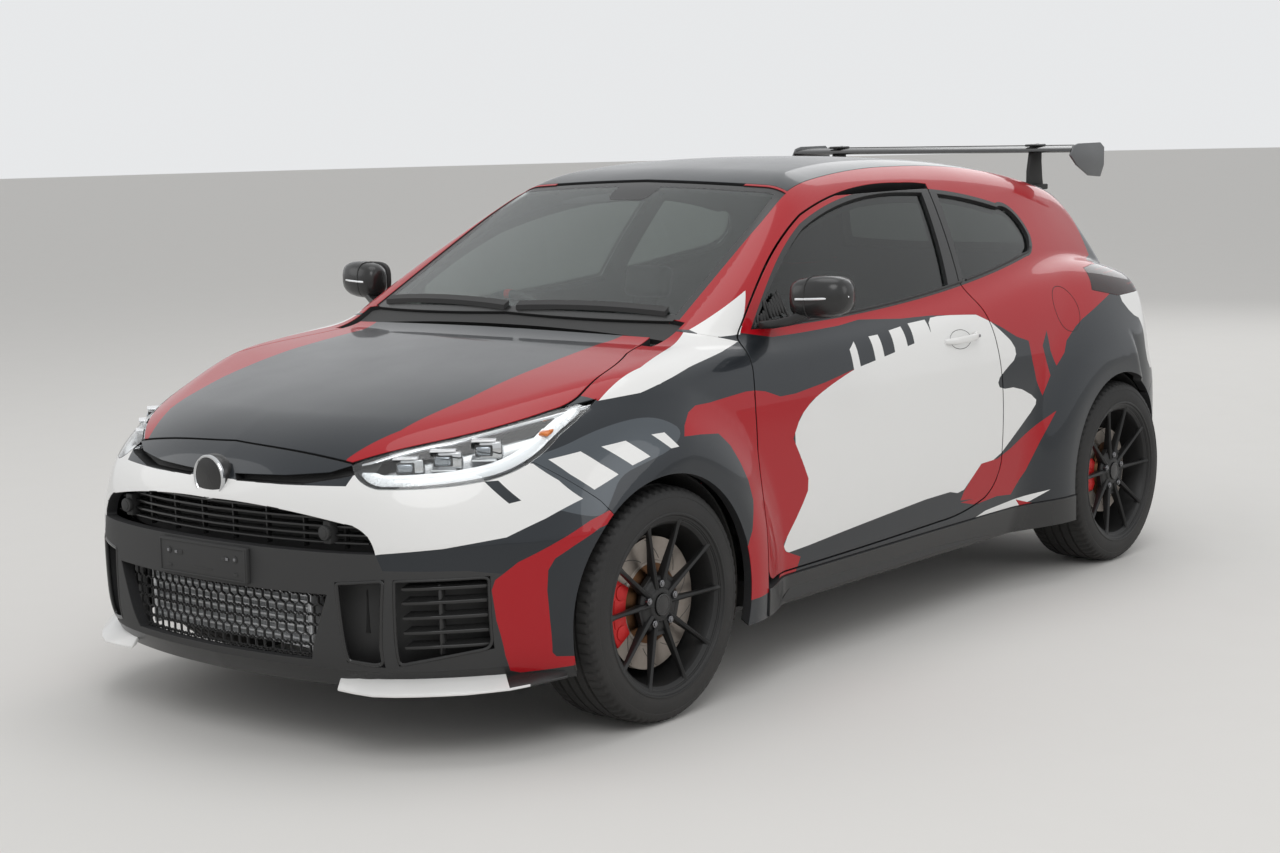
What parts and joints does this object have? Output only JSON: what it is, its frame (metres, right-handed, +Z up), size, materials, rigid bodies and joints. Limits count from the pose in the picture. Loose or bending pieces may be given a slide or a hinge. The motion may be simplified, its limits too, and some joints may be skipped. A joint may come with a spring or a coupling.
{
  "type": "rally car",
  "caption": "Three-door rally hatchback with flared arches, raised rear wing, opening doors, bonnet and tailgate, and steered front wheels.",
  "frame": {"origin": "on the ground below the middle of the car's length and width", "axes": "+Y towards the rear, -Y towards the nose, +X to the car's left side, +Z up"},
  "size_m": [2.0128, 3.9948, 1.4649],
  "materials": {
    "body_paint": "gloss white, red and dark grey livery",
    "gloss_black": "gloss black",
    "trim_black": "textured black",
    "glass": "clear",
    "dark_glass": "dark tinted",
    "lamp_clear": "clear lens",
    "lamp_red": "red lens",
    "rubber": "matte",
    "wheel_black": "satin black",
    "disc_steel": "machined",
    "caliper_red": "gloss red",
    "cast_metal": "bare casting",
    "underseal": "matte underseal",
    "aluminium": "bare fins",
    "seat_fabric": "black cloth",
    "cabin_plastic": "soft black",
    "steel_pipe": "brushed"
  },
  "bodies": {
    "root": {"calipers_rear": "caliper_red", "cowl": "trim_black", "dashboard": "cabin_plastic", "engine": "cast_metal", "exhaust": "steel_pipe", "fixed_glass": "glass", "front_bumper": "body_paint", "front_seats": "seat_fabric", "front_subframe": "cast_metal", "front_wing_l": "body_paint", "front_wing_r": "body_paint", "grilles": "trim_black", "headlamps": "lamp_clear", "intercooler": "aluminium", "plate_holder": "trim_black", "rear_axle": "cast_metal", "rear_bench": "seat_fabric", "rear_bumper": "body_paint", "roof": "body_paint", "side_panel_l": "body_paint", "side_panel_r": "body_paint", "side_skirts": "body_paint", "splitters": "body_paint", "tail_lamps": "lamp_red", "underbody": "underseal", "wipers": "trim_black"},
    "bonnet": {"bonnet": "body_paint"},
    "tailgate": {"tailgate": "body_paint", "hatch_glass": "dark_glass", "rear_wing": "gloss_black"},
    "door_l": {"door_l": "body_paint", "door_window_l": "dark_glass", "mirror_l": "gloss_black"},
    "door_r": {"door_r": "body_paint", "door_window_r": "dark_glass", "mirror_r": "gloss_black"},
    "knuckle_l": {"knuckle_l": "cast_metal", "caliper_front_l": "caliper_red"},
    "knuckle_r": {"knuckle_r": "cast_metal", "caliper_front_r": "caliper_red"},
    "steering_wheel": {"steering_wheel": "cabin_plastic"},
    "wheel_fl": {"tyre_front_l": "rubber", "rim_front_l": "wheel_black", "disc_front_l": "disc_steel"},
    "wheel_fr": {"tyre_front_r": "rubber", "rim_front_r": "wheel_black", "disc_front_r": "disc_steel"},
    "wheel_rl": {"tyre_rear_l": "rubber", "rim_rear_l": "wheel_black", "disc_rear_l": "disc_steel"},
    "wheel_rr": {"tyre_rear_r": "rubber", "rim_rear_r": "wheel_black", "disc_rear_r": "disc_steel"}
  },
  "joints": [
    {"name": "door_l_hinge", "type": "hinge", "parent": "root", "child": "door_l", "pos_m": [0.838, -0.64, 0.42], "axis": [0.0675, 0, -0.9977], "range_deg": [0, 68]},
    {"name": "door_r_hinge", "type": "hinge", "parent": "root", "child": "door_r", "pos_m": [-0.838, -0.64, 0.42], "axis": [0.0675, 0, 0.9977], "range_deg": [0, 68]},
    {"name": "bonnet_hinge", "type": "hinge", "parent": "root", "child": "bonnet", "pos_m": [0, -0.9, 0.928], "axis": [-1, 0, 0], "range_deg": [0, 50]},
    {"name": "tailgate_hinge", "type": "hinge", "parent": "root", "child": "tailgate", "pos_m": [0, 1.48, 1.28], "axis": [1, 0, 0], "range_deg": [0, 72]},
    {"name": "steer_l", "type": "hinge", "parent": "root", "child": "knuckle_l", "pos_m": [0.754, -1.1575, 0.3185], "axis": [0, 0, 1], "range_deg": [-33, 33]},
    {"name": "steer_r", "type": "hinge", "parent": "root", "child": "knuckle_r", "pos_m": [-0.754, -1.1575, 0.3185], "axis": [0, 0, 1], "range_deg": [-33, 33]},
    {"name": "steering_column", "type": "hinge", "parent": "root", "child": "steering_wheel", "pos_m": [-0.37, -0.3, 0.88], "axis": [0, 0.9062, 0.4229], "range_deg": [-462, 462]},
    {"name": "wheel_fl_spin", "type": "hinge", "parent": "knuckle_l", "child": "wheel_fl", "pos_m": [0.768, -1.1575, 0.3185], "axis": [1, 0, 0], "continuous": true},
    {"name": "wheel_fr_spin", "type": "hinge", "parent": "knuckle_r", "child": "wheel_fr", "pos_m": [-0.768, -1.1575, 0.3185], "axis": [1, 0, 0], "continuous": true},
    {"name": "wheel_rl_spin", "type": "hinge", "parent": "root", "child": "wheel_rl", "pos_m": [0.7825, 1.4005, 0.3185], "axis": [1, 0, 0], "continuous": true},
    {"name": "wheel_rr_spin", "type": "hinge", "parent": "root", "child": "wheel_rr", "pos_m": [-0.7825, 1.4005, 0.3185], "axis": [1, 0, 0], "continuous": true}
  ],
  "couplings": [
    {"joint": "steer_r", "follows": "steer_l", "ratio": 1},
    {"joint": "steering_column", "follows": "steer_l", "ratio": 14}
  ]
}
